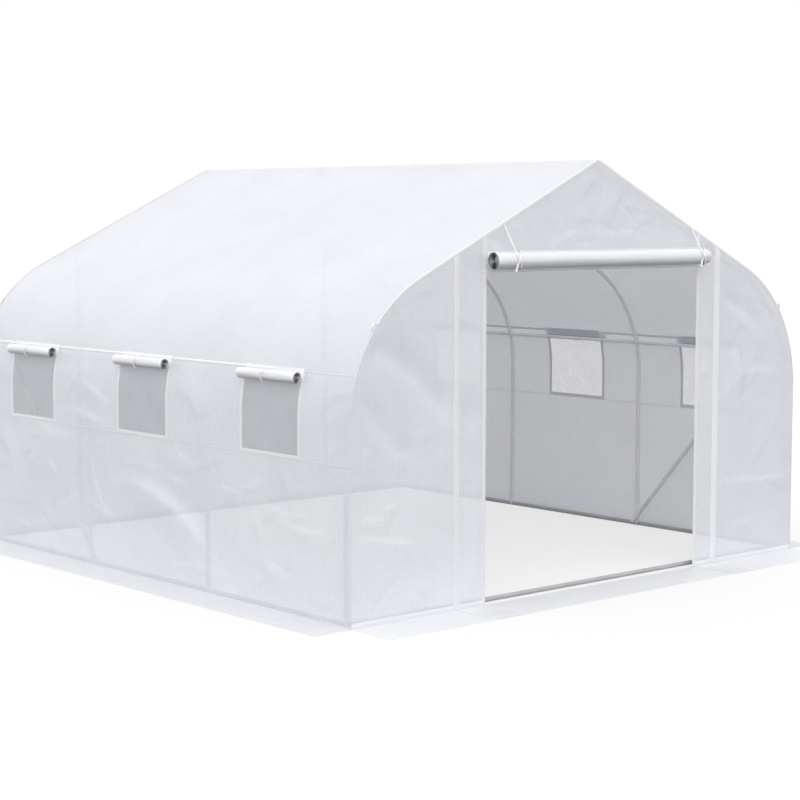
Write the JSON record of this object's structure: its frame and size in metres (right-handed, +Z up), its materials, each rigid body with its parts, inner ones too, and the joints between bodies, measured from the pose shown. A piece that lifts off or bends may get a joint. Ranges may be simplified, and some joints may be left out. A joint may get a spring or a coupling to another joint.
{
  "type": "polytunnel greenhouse",
  "caption": "Walk-in polytunnel greenhouse: tube hoops under a white film cover, with a roll-up door, roll-up side windows and ground skirts.",
  "frame": {"origin": "on the ground, under the middle of the tunnel", "axes": "+Z up, +Y along the ridge from the door end to the closed end, +X to the right seen from the door end"},
  "size_m": [3.4, 3.624, 2],
  "materials": {
    "frame_tube": "satin",
    "connector": "satin",
    "film": "satin",
    "rolled_film": "satin",
    "seam_film": "satin",
    "mesh": "matte",
    "webbing": "matte"
  },
  "bodies": {
    "root": {"back_panel_left": "film", "back_panel_middle": "film", "back_panel_right": "film", "base_rails_end": "frame_tube", "base_rails_side": "frame_tube", "braces": "frame_tube", "door_roll": "rolled_film", "door_tapes": "webbing", "door_ties": "webbing", "front_gable": "film", "front_jamb_left": "film", "front_jamb_right": "film", "front_panel_left": "film", "front_panel_right": "film", "haunch_loops": "webbing", "hoop_1_left": "frame_tube", "hoop_1_right": "frame_tube", "hoop_2_left": "frame_tube", "hoop_2_right": "frame_tube", "hoop_3_left": "frame_tube", "hoop_3_right": "frame_tube", "hoop_4_left": "frame_tube", "hoop_4_right": "frame_tube", "purlins": "frame_tube", "ridge_connectors": "connector", "ridge_tube": "frame_tube", "roof_left": "film", "roof_right": "film", "seam_flaps": "seam_film", "side_panel_left": "film", "side_panel_right": "film", "skirt_back": "film", "skirt_front": "film", "skirt_left": "film", "skirt_right": "film", "window_band_left": "film", "window_band_right": "film", "window_rolls_left": "rolled_film", "window_rolls_right": "rolled_film", "window_screens_left": "mesh", "window_screens_right": "mesh", "window_tapes_left": "webbing", "window_tapes_right": "webbing", "window_ties": "webbing"}
  },
  "joints": []
}
